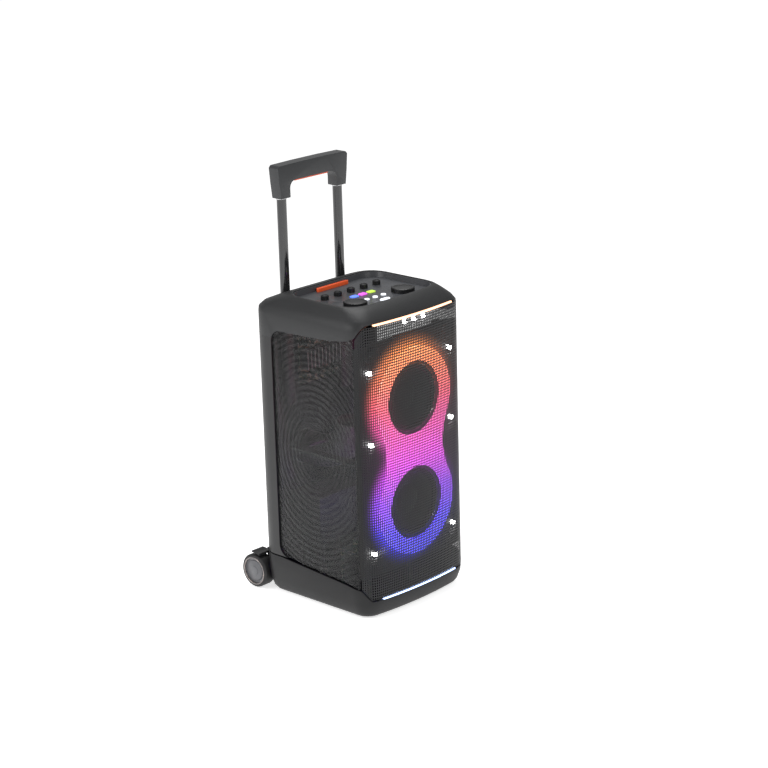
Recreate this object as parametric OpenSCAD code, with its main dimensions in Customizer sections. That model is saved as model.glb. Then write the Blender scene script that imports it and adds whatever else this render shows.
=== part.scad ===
// Party speaker on two wheels: a sealed cabinet with two woofers and two tweeters behind a
// wrap-around grille, a figure-of-eight light ring, a control tray and a pull-out handle.
// The origin is on the ground under the centre of the whole object. +X is the speaker's
// own left-to-right as seen from the front, and the front faces -Y.

/* [Cabinet] */
// Width of the cabinet, without the wheels
body_w = 320; // [290:1:360]
// Depth from the front of the grille to the back of the wheels
overall_d = 383; // [360:1:420]
// Depth of the cabinet itself, front to rear wall
body_d = 328; // [310:1:350]
// Height of the rim round the control tray
body_h = 669; // [640:1:720]
// Radius of the bow of the front, seen from above
front_bow_r = 920; // [700:10:1500]
// Corner radius at the front
front_corner_r = 46; // [36:1:54]
// Corner radius at the rear
rear_corner_r = 44; // [36:1:50]
// Wall thickness of the moulded shells
wall = 4; // [3:0.5:5]
// Height of the rubber feet
foot_h = 6; // [4:1:10]
// Radius of a rubber foot
foot_r = 13; // [10:1:16]

/* [Drivers] */
// Height of the upper woofer's centre
upper_z = 457; // [450:1:465]
// Height of the lower woofer's centre
lower_z = 228; // [222:1:236]
// Radius of a woofer's mounting flange
flange_r = 90; // [86:1:94]
// Outer radius of the rubber surround
surround_r = 76; // [72:1:80]
// Outer radius of the cone
cone_r = 60; // [56:1:64]
// Radius of the magnet
magnet_r = 50; // [44:1:56]
// How far the cone moves each way
cone_travel = 5; // [3:1:6]
// Distance of each tweeter from the middle
tweeter_x = 112; // [106:1:118]
// Height of the tweeters
tweeter_z = 578; // [574:1:584]

/* [Handle] */
// Distance of each rod from the middle
rod_x = 83; // [76:1:90]
// Width of a rod
rod_w = 22; // [18:1:26]
// Depth of a rod
rod_d = 18; // [16:1:20]
// Height of the top of the handle when it is pulled out
handle_top = 929; // [880:1:960]
// How far the handle slides down
handle_travel = 180; // [150:1:182]
// Half width of the grip at its top
grip_half_w = 103; // [98:1:112]
// Depth of the grip, front to back
grip_d = 27; // [24:1:32]

/* [Wheels] */
// Radius of a wheel
wheel_r = 37; // [32:1:40]
// Width of a wheel
wheel_w = 31; // [26:1:34]
// Distance over the outer faces of the wheels
wheel_span = 333; // [326:1:345]
// Gap between wheel and ground while the feet stand
wheel_lift = 2; // [1:0.5:4]
// Radius of the steel axle
axle_r = 4; // [3:0.5:5]

/* [Controls] */
// Depth of the tray below its rim
tray_depth = 13; // [10:1:16]
// Radius of the two large dials
dial_r = 25; // [20:1:28]
// Distance of each large dial from the middle
dial_x = 72; // [66:1:80]
// Radius of a small knob
knob_r = 8.5; // [6:0.5:10]
// Spacing of the small knobs
knob_pitch = 39; // [30:1:42]

/* [Hidden] */
$fn = 64;

// Overall places
front_y = -overall_d / 2;
rear_y = front_y + body_d;
half_w = body_w / 2;
wheel_y = overall_d / 2 - wheel_r;
wheel_z = wheel_r + wheel_lift;
fit = 0.3;             // gap round a piece that is laid into its seat
running = 0.05;        // radial gap of a running fit
slice = 0.5;           // what a cutter reaches past the face that it opens
base_floor = foot_h + 4;

// Outline of the cabinet, and of the tray in its top
arc_steps = 6;
side_skin_x = half_w - 5.5;     // inner face of the side panels
panel_t = 3;
grille_t = 1.6;
grille_inset = 1.2;
grille_side_y = front_y + 33;   // where the grille ends on the sides
panel_rear_y = rear_y - 61;
panel_corner_r = 26;
tray_half_w = 134;
tray_front_y = front_y + 46;
tray_rear_y = rear_y - 74;
tray_corner_r = 44;
shoulder_h = 33;                // from the side's upright part up to the rim
shell_bottom = 578;             // lower edge of the top shell at the rear

// Edge of the top shell along the side and the front, as [y, z]
shell_edge = [[rear_y + 20, 578], [panel_rear_y, 578], [panel_rear_y - 30, 596], [0, 597],
    [front_y + 100, 600], [front_y + 50, 607], [front_y + 32, 615], [front_y + 24, 629],
    [front_y + 17, 640.5], [front_y - 20, 641.5]];
// Upper edge of the base along the side and the front, as [y, z]
base_edge = [[rear_y + 60, 90], [panel_rear_y, 90], [0, 84], [front_y + 70, 74],
    [front_y + 33, 68], [front_y + 25, 58], [front_y + 17, 43], [front_y - 20, 43]];
groove = 3;                     // shadow gap between the base and what stands on it

// Drivers
baffle_t = 12;
baffle_y = front_y + 27;        // front face of the baffle
baffle_bottom = 92;
baffle_top = 592;
cutout_r = surround_r - 2;
flange_t = 4;
surround_t = 1.5;
cone_depth = 26;
cone_t = 1.2;
cap_r = 32;
basket_depth = 52;
magnet_t = 30;
coil_r = 20;
coil_t = 1;
gap_half = 1.2;                 // clear space on each side of the coil in the magnet's gap
pole_vent_r = 6;
tweeter_r = 22;
tweeter_dome_r = 12.5;
screw_r = 2.2;
flange_screws = 8;

// Light ring
ring_front_y = front_y + 11;
ring_t = 5;
lobe_r_upper = 110;
lobe_r_lower = 112;
ring_hole_r = 79;
waist_half_w = 84;

// Handle
rod_y = rear_y - 30;
rod_wall = 2;
collar_h = 12;
collar_bottom = handle_top - 73;
rod_bottom = shell_bottom + 18;
guide_wall = 3;
guide_gap = 0.35;
guide_top = 640;
guide_bottom = rod_bottom - handle_travel - 6;
grip_arch_z = handle_top - 36;
release_t = 5;

// Controls
tray_floor = body_h - tray_depth;
floor_t = 3;
tray_wall_t = 2.5;
dial_h = 8;
dial_y = front_y + 104;
knob_h = 8;
knob_y = front_y + 186;
pad_y = front_y + 152;
button_y = front_y + 116;
power_y = front_y + 88;
button_pitch = 25;
stem_r = 3;
stem_h = 14;

// Rear
door_half_w = 77;
door_bottom = 104;
door_h = 112;
door_t = 3.5;
hinge_r = 2.5;
port_z = 292;
port_r = 36;
port_t = 2.5;
port_bend_r = 104;
port_x = -16;
io_half_w = 58;
io_bottom = 440;
io_h = 126;
io_t = 3;
jack_r = 3.25;
aux_r = 1.8;
jack_len = 24;

// ---- outlines -------------------------------------------------------------------------

function arc(cx, cy, r, from, to, n) =
    [for (i = [0:n]) let (a = from + (to - from) * i / n) [cx + r * cos(a), cy + r * sin(a)]];

// Rounded plan with a bowed front, counter-clockwise from the front's right end
function plan(hw, fy, ry, bow, rf, rr) =
    let (dx = hw - rf,
        cy = fy + bow - sqrt(pow(bow - rf, 2) - dx * dx),
        meet = atan2(cy - fy - bow, dx))
    concat(arc(0, fy + bow, bow, -180 - meet, meet, 2 * arc_steps),
        [for (i = [1:arc_steps]) let (a = meet - meet * i / arc_steps)
            [dx + rf * cos(a), cy + rf * sin(a)]],
        arc(hw - rr, ry - rr, rr, 0, 90, arc_steps),
        arc(-hw + rr, ry - rr, rr, 90, 180, arc_steps),
        [for (i = [0:arc_steps - 1]) let (a = 180 + (-meet) * i / arc_steps)
            [-dx + rf * cos(a), cy + rf * sin(a)]]);

function body_plan(inset) = plan(half_w - inset, front_y + inset, rear_y - inset,
    front_bow_r - inset, max(front_corner_r - inset, 8), max(rear_corner_r - inset, 8));

function tray_plan(inset) = plan(tray_half_w - inset, tray_front_y + inset,
    tray_rear_y - inset, front_bow_r, tray_corner_r - inset, tray_corner_r - inset);

function blend(a, b, t) = [for (i = [0:len(a) - 1]) a[i] * (1 - t) + b[i] * t];

function raised(points, z) = [for (p = points) [p[0], p[1], z]];

// Closed solid through a list of rings that all have the same number of points
module loft(rings) {
    n = len(rings[0]);
    last = (len(rings) - 1) * n;
    polyhedron(
        points = [for (ring = rings) each ring],
        faces = concat(
            [[for (i = [0:n - 1]) i]],
            [for (k = [0:len(rings) - 2], i = [0:n - 1])
                [k * n + i, (k + 1) * n + i, (k + 1) * n + (i + 1) % n, k * n + (i + 1) % n]],
            [[for (i = [n - 1:-1:0]) last + i]]),
        convexity = 6);
}

module rounded_rect(w, d, r) {
    square([w - 2 * r, d], center = true);
    square([w, d - 2 * r], center = true);
    for (sx = [-1, 1], sy = [-1, 1])
        translate([sx * (w / 2 - r), sy * (d / 2 - r)]) circle(r);
}

module stadium(w, d) {
    square([w - d, d], center = true);
    for (side = [-1, 1]) translate([side * (w - d) / 2, 0]) circle(d / 2);
}

module rounded_block(w, d, h, r) {
    linear_extrude(h) rounded_rect(w, d, r);
}

// Turns a shape drawn in Y and Z so that it is extruded along X, centred
module along_x(length) {
    translate([-length / 2, 0, 0]) rotate([90, 0, 90]) linear_extrude(length) children();
}

// Turns a shape drawn in X and Z so that it is extruded along +Y from y
module along_y(y, length) {
    translate([0, y + length, 0]) rotate([90, 0, 0]) linear_extrude(length) children();
}

// Side view of all that lies below an edge, down to z = 0
module below(edge, drop = 0) {
    polygon(concat([for (p = edge) [p[0], p[1] - drop]],
        [[edge[len(edge) - 1][0], -slice], [edge[0][0], -slice]]));
}

// Side view of a side panel, between the base, the top shell, the rear frame and the grille
function edge_z(edge, y, i = 0) =
    edge[i + 1][0] <= y
        ? edge[i][1] + (edge[i + 1][1] - edge[i][1]) * (edge[i][0] - y) / (edge[i][0] - edge[i + 1][0])
        : edge_z(edge, y, i + 1);

module panel_outline(grow) {
    r = panel_corner_r;
    low = edge_z(base_edge, panel_rear_y);
    y_rear = panel_rear_y + grow;
    y_front = grille_side_y - grow;
    polygon(concat(
        [[y_front, edge_z(base_edge, grille_side_y) + groove - grow],
            [front_y + 70, edge_z(base_edge, front_y + 70) + groove - grow],
            [0, edge_z(base_edge, 0) + groove - grow]],
        arc(y_rear - r, low + groove - grow + r, r, -90, 0, arc_steps),
        arc(y_rear - r, 596 + grow - r, r, 0, 90, arc_steps),
        [[0, 597 + grow], [front_y + 100, 600 + grow], [front_y + 50, 607 + grow],
            [y_front, 614 + grow]]));
}

// Thin skin that follows the cabinet's plan, for all y in front of a limit
module front_skin(inset, t, side_y, z0, z1) {
    translate([0, 0, z0]) linear_extrude(z1 - z0) intersection() {
        difference() {
            polygon(body_plan(inset));
            polygon(body_plan(inset + t));
        }
        translate([-half_w, front_y - 1]) square([body_w, side_y - front_y + 1]);
    }
}

// ---- cabinet --------------------------------------------------------------------------

module wheel_wells(extra = 0) {
    for (side = [-1, 1])
        translate([side * (wheel_span / 2 - wheel_w / 2), wheel_y, wheel_z])
            rotate([0, 90, 0])
                cylinder(r = wheel_r + 5 + extra, h = wheel_w + 8, center = true);
}

module base_plinth() {
    color("#1c1c1e") intersection() {
        difference() {
            loft([raised(body_plan(16), foot_h), raised(body_plan(9), foot_h + 8),
                raised(body_plan(2), 34), raised(body_plan(0), 56), raised(body_plan(0), 90)]);
            loft([raised(body_plan(22), foot_h + 4), raised(body_plan(13), foot_h + 13),
                raised(body_plan(6), 36), raised(body_plan(wall), 56),
                raised(body_plan(wall), 91)]);
            wheel_wells();
        }
        along_x(body_w + 2) below(base_edge);
    }
}

module rubber_feet() {
    color("#111111") for (side = [-1, 1], y = [front_y + 62, rear_y - 74])
        translate([side * (half_w - 50), y, 0]) {
            cylinder(r1 = foot_r - 1, r2 = foot_r - 1, h = 1);
            translate([0, 0, 1]) cylinder(r = foot_r, h = foot_h - 1);
        }
}

module rear_openings() {
    along_y(rear_y - 20, 30) {
        translate([0, door_bottom + door_h / 2])
            square([2 * door_half_w + 2 * fit, door_h + 2 * fit], center = true);
        translate([0, io_bottom + io_h / 2])
            rounded_rect(2 * io_half_w + 2 * fit, io_h + 2 * fit, 6);
        translate([port_x, port_z]) circle(port_r + port_t + fit);
    }
}

module rear_housing() {
    color("#232325") {
        difference() {
            translate([0, 0, 90 + groove]) linear_extrude(shell_bottom - 90 - groove - fit)
                intersection() {
                    difference() {
                        polygon(body_plan(0));
                        polygon(body_plan(wall));
                    }
                    translate([-half_w, panel_rear_y - 30]) square([body_w, body_d]);
                }
            along_x(body_w + 2) panel_outline(fit);
            rear_openings();
        }
        // Lips that the side panels are screwed to
        for (side = [-1, 1])
            translate([side * (side_skin_x - 3) - 3, panel_rear_y - 6, 110])
                cube([6 - fit, 40, 460]);
        // Ledge that reaches into the base and is screwed to it
        difference() {
            translate([0, 0, 82]) linear_extrude(15) intersection() {
                polygon(body_plan(wall + fit));
                translate([-half_w, rear_y - 22]) square([body_w, 20]);
            }
            rear_openings();
        }
        for (x = [-50, 50]) translate([x - 3, rear_y - wall - 5, 219]) cube([6, 6, 14]);
    }
}

module rod_cut(extra) {
    for (side = [-1, 1]) translate([side * rod_x, rod_y, shell_bottom - 20])
        linear_extrude(120) stadium(rod_w + extra, rod_d + extra);
}

module top_shell() {
    low = shell_bottom;
    side_top = body_h - shoulder_h;
    color("#2e2e31") difference() {
        loft([raised(body_plan(0), low), raised(body_plan(0), side_top - 8),
            raised(body_plan(1.5), side_top + 2),
            raised(blend(body_plan(6), tray_plan(0), 0.1), side_top + 12),
            raised(blend(body_plan(8), tray_plan(0), 0.5), body_h - 9),
            raised(blend(body_plan(8), tray_plan(0), 0.85), body_h - 1.5),
            raised(tray_plan(0), body_h)]);
        loft([raised(body_plan(wall), low - 1), raised(body_plan(wall), side_top - 10),
            raised(body_plan(wall + 2), side_top - 1),
            raised(blend(body_plan(wall + 7), tray_plan(1), 0.1), side_top + 8),
            raised(blend(body_plan(wall + 9), tray_plan(1), 0.5), body_h - 13),
            raised(tray_plan(1), body_h - 6)]);
        translate([0, 0, body_h - 8]) linear_extrude(10) polygon(tray_plan(3));
        along_x(body_w + 2) below(shell_edge);
        along_x(body_w + 2) panel_outline(fit);
        rod_cut(2);
    }
}

module side_panel(side) {
    color("#17181a") intersection() {
        translate([side > 0 ? side_skin_x : -side_skin_x - panel_t, 0, 0])
            rotate([90, 0, 90]) linear_extrude(panel_t) panel_outline(0);
        linear_extrude(body_h) polygon(body_plan(1));
    }
}

module front_grille() {
    color("#3a3a3d") intersection() {
        front_skin(grille_inset, grille_t, grille_side_y - fit, 40, body_h - 20);
        along_x(body_w + 2) difference() {
            below(shell_edge, groove + 1);
            below(base_edge, -groove - 1);
        }
    }
}

module front_baffle() {
    color("#202023") difference() {
        translate([-side_skin_x + fit, baffle_y, baffle_bottom])
            cube([2 * side_skin_x - 2 * fit, baffle_t, baffle_top - baffle_bottom]);
        for (z = [upper_z, lower_z])
            translate([0, baffle_y - 1, z]) rotate([-90, 0, 0])
                cylinder(r = cutout_r, h = baffle_t + 2);
        for (side = [-1, 1])
            translate([side * tweeter_x, baffle_y - 1, tweeter_z]) rotate([-90, 0, 0])
                cylinder(r = tweeter_dome_r + 5 + fit, h = baffle_t + 2);
        // Front corners follow the bow of the cabinet
        difference() {
            translate([-half_w, baffle_y - 1, 0]) cube([body_w, baffle_t + 2, body_h]);
            linear_extrude(body_h) polygon(body_plan(grille_inset + grille_t + fit));
        }
    }
}

// Clip blocks that hold a flat piece off the baffle
module standoffs(y, places) {
    for (p = places) translate([p[0] - 4, y, p[1] - 4]) cube([8, baffle_y - y, 8]);
}

module ring_face() {
    middle = (upper_z + lower_z) / 2;
    half_gap = (upper_z - lower_z) / 2;
    mean_r = (lobe_r_upper + lobe_r_lower) / 2;
    waist_r = (waist_half_w * waist_half_w + half_gap * half_gap - mean_r * mean_r)
        / (2 * (mean_r - waist_half_w));
    reach = mean_r / (mean_r + waist_r);
    difference() {
        union() {
            translate([0, upper_z]) circle(lobe_r_upper, $fn = 96);
            translate([0, lower_z]) circle(lobe_r_lower, $fn = 96);
            translate([-(waist_half_w + waist_r) * reach, middle - half_gap * (1 - reach)])
                square([2 * (waist_half_w + waist_r) * reach, 2 * half_gap * (1 - reach)]);
        }
        for (side = [-1, 1])
            translate([side * (waist_half_w + waist_r), middle]) circle(waist_r, $fn = 96);
        for (z = [upper_z, lower_z]) translate([0, z]) circle(ring_hole_r, $fn = 96);
    }
}

module light_ring() {
    color("#ff58c8") {
        along_y(ring_front_y, ring_t) ring_face();
        standoffs(ring_front_y + ring_t, [[-100, upper_z], [100, upper_z], [-100, lower_z],
            [100, lower_z], [-66, (upper_z + lower_z) / 2], [66, (upper_z + lower_z) / 2]]);
    }
}

module light_strip(z, h, half_len, t) {
    intersection() {
        front_skin(grille_inset, t, front_y + 30, z, z + h);
        translate([-half_len, front_y - 2, 0]) cube([2 * half_len, 60, body_h]);
    }
}

module top_light_strip() {
    color("#ffc9a8") light_strip(637, 3, 118, 5);
}

module bottom_light_strip() {
    color("#c9d4ff") light_strip(43.3, 3, 112, 5);
}

// Small high-power lamps on stems behind the grille, and three under the top strip
module strobe_lights() {
    color("white") {
        for (x = [-28, 0, 28]) translate([x, front_y + 6, 627]) {
            rotate([-90, 0, 0]) cylinder(r = 4, h = 6);
            translate([-2, 1, 0]) cube([4, 4, 10 - fit]);
        }
        for (side = [-1, 1], z = [144, (upper_z + lower_z) / 2 + 40, 536])
            translate([side * 122, baffle_y - 8, z]) rotate([-90, 0, 0])
                cylinder(r = 4.5, h = 8);
    }
}

// ---- woofers --------------------------------------------------------------------------

// Puts a driver that is drawn along +Z, front upwards, into the baffle with its front to -Y
module at_driver(x, z) {
    translate([x, baffle_y, z]) rotate([90, 0, 0]) children();
}

module woofer_basket(z) {
    rim_r = cutout_r - 0.5;
    seat_r = surround_r - 4;
    color("#4a4b4e") at_driver(0, z) {
        difference() {
            rotate_extrude($fn = 96) polygon([[flange_r, 0], [flange_r, flange_t],
                [surround_r, flange_t], [surround_r, flange_t - 1.5], [seat_r, flange_t - 1.5],
                [seat_r, -6], [seat_r - 6, -14], [magnet_r, 4 - basket_depth],
                [coil_r + 10, 4 - basket_depth], [coil_r + 10, -basket_depth],
                [magnet_r + 5, -basket_depth], [seat_r - 2, -16], [rim_r, -8], [rim_r, 0]]);
            // Windows between six legs
            for (i = [0:5]) rotate(i * 60)
                translate([magnet_r - 3, -12, 8 - basket_depth]) cube([40, 24, 26]);
        }
        for (i = [0:flange_screws - 1]) rotate(i * 360 / flange_screws + 22.5)
            translate([(flange_r + surround_r) / 2, 0, flange_t - 1])
                cylinder(r = screw_r + 1, h = 2.6);
    }
}

module woofer_magnet(z) {
    color("#3b3330") at_driver(0, z) translate([0, 0, -basket_depth - magnet_t]) {
        difference() {
            cylinder(r = magnet_r, h = magnet_t, $fn = 96);
            translate([0, 0, 6]) difference() {
                cylinder(r = coil_r + coil_t + gap_half, h = magnet_t);
                cylinder(r = coil_r - gap_half, h = magnet_t);
            }
            translate([0, 0, -1]) cylinder(r = pole_vent_r, h = magnet_t + 2);
            translate([0, 0, magnet_t - 7]) difference() {
                cylinder(r = magnet_r + 1, h = 1.5);
                cylinder(r = magnet_r - 1.5, h = 1.5);
            }
        }
    }
}

// Half-roll surround and the spider: the two soft rings that carry the cone
module woofer_surround(z) {
    roll_r = (surround_r - cone_r) / 2;
    color("#161616") at_driver(0, z) {
        translate([0, 0, flange_t - 1.5]) {
            rotate_extrude($fn = 96) translate([cone_r + roll_r, 0]) intersection() {
                difference() {
                    circle(roll_r, $fn = 48);
                    circle(roll_r - surround_t, $fn = 48);
                }
                translate([-roll_r, 0]) square([2 * roll_r, roll_r]);
            }
        }
        translate([0, 0, -basket_depth + 18]) difference() {
            cylinder(r = magnet_r + 6, h = 1);
            translate([0, 0, -1]) cylinder(r = coil_r + coil_t + fit, h = 3);
        }
    }
}

// Cone, dust cap and voice coil, which move as one
module woofer_cone(z) {
    top = flange_t - 1.5;
    edge = cone_r - fit;
    color("#26272a") at_driver(0, z) {
        rotate_extrude($fn = 96) polygon([[edge, top], [edge, top + 1.5], [edge - 2, top + 1.5],
            [cap_r, top - cone_depth * 0.68 + 1.5], [coil_r, top - cone_depth + 1],
            [coil_r, -basket_depth - magnet_t + 14],
            [coil_r + coil_t, -basket_depth - magnet_t + 14],
            [coil_r + coil_t, top - cone_depth - 1],
            [cap_r, top - cone_depth * 0.68 - cone_t]]);
        // Shallow convex dust cap, glued to the cone
        translate([0, 0, top - cone_depth * 0.68 + 1.5]) intersection() {
            translate([0, 0, -82]) difference() {
                sphere(r = 88, $fn = 96);
                sphere(r = 87, $fn = 96);
            }
            translate([0, 0, -3]) cylinder(r = cap_r, h = 15);
        }
    }
}

module tweeter(side) {
    color("#3f4144") at_driver(side * tweeter_x, tweeter_z) {
        difference() {
            union() {
                cylinder(r = tweeter_r, h = 3);
                rotate(side * 20) linear_extrude(3) stadium(2 * tweeter_r + 16, 11);
            }
            translate([0, 0, 1]) cylinder(r = tweeter_dome_r + 2, h = 3);
            for (end = [-1, 1]) rotate(side * 20)
                translate([end * (tweeter_r + 3), 0, -1]) cylinder(r = 1.6, h = 5);
        }
        translate([0, 0, 1]) intersection() {
            sphere(r = tweeter_dome_r);
            cylinder(r = tweeter_dome_r, h = tweeter_dome_r - 5);
        }
        translate([0, 0, -26]) cylinder(r = tweeter_dome_r + 5, h = 26);
    }
}

// ---- inside ---------------------------------------------------------------------------

// Tube that starts in the rear wall, runs forwards and turns up
module reflex_port() {
    bend_y = rear_y - wall - 46;
    color("#55575b") translate([port_x, 0, 0]) {
        translate([0, bend_y, port_z]) rotate([-90, 0, 0]) difference() {
            cylinder(r = port_r, h = rear_y - bend_y - 1);
            translate([0, 0, -1]) cylinder(r = port_r - port_t, h = rear_y - bend_y + 2);
        }
        translate([0, rear_y - 3, port_z]) rotate([-90, 0, 0]) difference() {
            cylinder(r = port_r + port_t, h = 3);
            translate([0, 0, -1]) cylinder(r = port_r - fit, h = 5);
        }
        translate([0, bend_y, port_z + port_bend_r]) rotate([180, 0, 0])
            rotate([0, -90, 0]) rotate_extrude(angle = 80) translate([port_bend_r, 0]) difference() {
                circle(port_r);
                circle(port_r - port_t);
            }
    }
}

module cabinet_brace() {
    z = (upper_z + lower_z) / 2;
    color("#2a2b2e") difference() {
        translate([-side_skin_x + fit, baffle_y + baffle_t, z - 3])
            cube([2 * side_skin_x - 2 * fit, 190, 6]);
        translate([port_x, front_y + 142, z - 4]) linear_extrude(8) rounded_rect(108, 176, 30);
        for (side = [-1, 1]) translate([side * 100, front_y + 130, z - 4])
            linear_extrude(8) rounded_rect(66, 150, 20);
    }
}

module handle_guides() {
    outer = 2 * (guide_wall + guide_gap);
    color("#3c3d40") {
        for (side = [-1, 1]) translate([side * rod_x, rod_y, guide_bottom]) {
            difference() {
                linear_extrude(guide_top - guide_bottom)
                    stadium(rod_w + outer, rod_d + outer);
                translate([0, 0, 4]) linear_extrude(guide_top)
                    stadium(rod_w + 2 * guide_gap, rod_d + 2 * guide_gap);
            }
            for (z = [20, 130]) translate([-5, (rod_d + outer) / 2 - 1, z])
                cube([10, rear_y - wall - rod_y - (rod_d + outer) / 2 + 1, 16]);
        }
    }
}

module amplifier_board() {
    y = rear_y - 32;
    color("#1d3b2a") {
        translate([-54, y, io_bottom + 4]) cube([108, 2, io_h - 8]);
        for (i = [0:4]) translate([-44 + i * 20, y - 15, io_bottom + 14])
            cube([12, 15, 14]);
        for (x = [-40, -18, 20]) translate([x, y, io_bottom + 96]) rotate([90, 0, 0])
            cylinder(r = 7, h = 20);
        // Posts to the connector panel
        for (x = [-48, 48], z = [io_bottom + 10, io_bottom + io_h - 10])
            translate([x, y + 2, z]) rotate([-90, 0, 0]) cylinder(r = 3, h = 25 - fit);
    }
}

module heat_sink() {
    y = rear_y - 32 - fit;
    color("#8b8d90") {
        translate([-50, y - 5, io_bottom + 40]) cube([100, 5, 40]);
        for (i = [0:9]) translate([-50 + i * 10.9, y - 24, io_bottom + 40]) cube([2, 19.5, 40]);
    }
}

module power_supply() {
    color("#27402f") translate([0, 0, 0]) {
        translate([-70, front_y + 92, 96]) cube([140, 96, 2]);
        for (x = [-60, 60], y = [front_y + 98, front_y + 178])
            translate([x, y, base_floor]) cylinder(r = 4, h = 97 - base_floor);
        translate([-58, front_y + 112, 98]) cube([44, 36, 32]);
        for (i = [0:3]) translate([2 + i * 18, front_y + 112, 98]) cylinder(r = 7.5, h = 26);
        translate([0, front_y + 134, 98]) cube([56, 5, 30]);
    }
}

module battery_pack() {
    low = 90 + groove + wall;
    color("#2f2f33") translate([-70, rear_y - wall - 92, low + 1]) {
        difference() {
            cube([140, 86, 106]);
            translate([30, 80, 40]) cube([80, 7, 26]);
        }
        for (x = [6, 122]) translate([x, 6, base_floor + fit - low - 1])
            cube([12, 60, low + 2 - base_floor]);
        translate([45, 80, 50]) cube([50, 5, 6]);
    }
}

module battery_door() {
    color("#1f1f21") {
        difference() {
            translate([-door_half_w, rear_y - door_t, door_bottom])
                cube([2 * door_half_w, door_t, door_h]);
            translate([-18, rear_y - 1.6, door_bottom + door_h - 16]) cube([36, 3, 8]);
            for (i = [0:5]) translate([-60, rear_y - 1, door_bottom + 18 + i * 12])
                cube([120, 2, 3]);
        }
    }
}

module io_panel() {
    y = rear_y - 5;
    color("#19191b") difference() {
        translate([0, y, io_bottom + io_h / 2]) rotate([-90, 0, 0])
            linear_extrude(io_t) rounded_rect(2 * io_half_w, io_h, 6);
        for (x = [-34, 0]) translate([x, y - 1, io_bottom + 98]) rotate([-90, 0, 0])
            cylinder(r = jack_r + 4.2 + fit, h = 8);
        translate([34, y - 1, io_bottom + 98]) rotate([-90, 0, 0])
            cylinder(r = aux_r + 3 + fit, h = 8);
        translate([-41, y - 1, io_bottom + 62]) cube([15, 8, 7]);
        translate([-15, y - 1, io_bottom + 14]) cube([30, 8, 22]);
    }
}

module socket(r, ring) {
    rotate([-90, 0, 0]) difference() {
        cylinder(r = r + ring, h = jack_len + 2);
        translate([0, 0, 2]) cylinder(r = r, h = jack_len + 1);
    }
}

module io_jacks() {
    y = rear_y - 2 - jack_len;
    color("#77797c") {
        for (x = [-34, 0]) translate([x, y, io_bottom + 98]) socket(jack_r, 4.2);
        translate([34, y, io_bottom + 98]) socket(aux_r, 3);
        // USB socket with its tongue
        translate([-40.7, rear_y - 18, io_bottom + 62.3]) difference() {
            cube([14.4, 16, 6.4]);
            translate([1, 4, 0.8]) cube([12.4, 13, 4.8]);
        }
        translate([-38.7, rear_y - 15, io_bottom + 65.6]) cube([10.4, 11, 1.6]);
    }
}

module ac_inlet() {
    color("#101011") translate([-14.7, rear_y - 20, io_bottom + 14.3]) {
        difference() {
            cube([29.4, 18, 21.4]);
            translate([3, 4, 3]) cube([23.4, 15, 15.4]);
        }
        for (x = [9.7, 19.7]) translate([x - 1, 3, 10]) cube([2, 10, 3]);
    }
}

module rear_screws() {
    color("#6a6b6e") for (side = [-1, 1], z = [130, 250, 370, 500])
        translate([side * 104, rear_y, z]) rotate([-90, 0, 0]) difference() {
            cylinder(r = 4, h = 1.8);
            translate([0, 0, 0.8]) cylinder(r = 1.6, h = 2, $fn = 6);
        }
}

// ---- wheels ---------------------------------------------------------------------------

module axle_carrier() {
    half_len = wheel_span / 2 - wheel_w - 4;
    color("#1c1c1e") {
        difference() {
            union() {
                translate([-half_len, rear_y + fit, wheel_z - 13])
                    cube([2 * half_len, wheel_y - rear_y + 12, 30]);
                translate([-half_len, rear_y + fit, wheel_z + 17])
                    cube([2 * half_len, 9, 30]);
            }
            translate([0, wheel_y, wheel_z]) rotate([0, 90, 0])
                cylinder(r = axle_r + running, h = body_w, center = true);
        }
        // Mudguard over each wheel
        for (side = [-1, 1]) translate([side * (wheel_span / 2 - wheel_w / 2 - 3), wheel_y, wheel_z])
            rotate([0, 90, 0]) intersection() {
                difference() {
                    cylinder(r = wheel_r + 9, h = wheel_w + 2, center = true);
                    cylinder(r = wheel_r + 5, h = wheel_w + 4, center = true);
                }
                translate([-wheel_r - 10, rear_y + fit - wheel_y, -wheel_w / 2 - 1])
                    cube([wheel_r + 10 - 12, wheel_y - rear_y + 6, wheel_w + 2]);
            }
    }
}

module wheel_axle() {
    color("#9a9ca0") translate([0, wheel_y, wheel_z]) rotate([0, 90, 0])
        cylinder(r = axle_r, h = wheel_span - 18, center = true);
}

// A wheel is drawn along +X, outer face at x = wheel_w, centred on its axle
module at_wheel(side) {
    translate([side * (wheel_span / 2 - wheel_w), wheel_y, wheel_z])
        mirror([side < 0 ? 1 : 0, 0, 0]) rotate([90, 0, 90]) children();
}

module tyre(side) {
    inner = wheel_r - 6;
    color("#141414") at_wheel(side) rotate_extrude($fn = 96) polygon([[inner, 0],
        [wheel_r - 2.5, 0], [wheel_r, 2.5], [wheel_r, wheel_w - 4], [wheel_r - 3, wheel_w - 0.5],
        [inner, wheel_w - 0.5]]);
}

module hub(side) {
    rim = wheel_r - 6;
    color("#85878a") at_wheel(side) rotate_extrude($fn = 96) polygon([[axle_r + running, 2],
        [rim, 2], [rim, wheel_w], [rim - 2.5, wheel_w], [rim - 3.5, wheel_w - 6],
        [rim - 8, wheel_w - 6], [rim - 9, wheel_w - 4], [10, wheel_w - 3], [10, wheel_w - 2],
        [0, wheel_w - 2], [0, wheel_w - 8], [axle_r + running, wheel_w - 8]]);
}

// ---- handle ---------------------------------------------------------------------------

module handle_rods() {
    color("#3b3c3f") for (side = [-1, 1]) translate([side * rod_x, rod_y, rod_bottom])
        linear_extrude(collar_bottom + collar_h - rod_bottom) difference() {
            stadium(rod_w, rod_d);
            stadium(rod_w - 2 * rod_wall, rod_d - 2 * rod_wall);
        }
}

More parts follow.
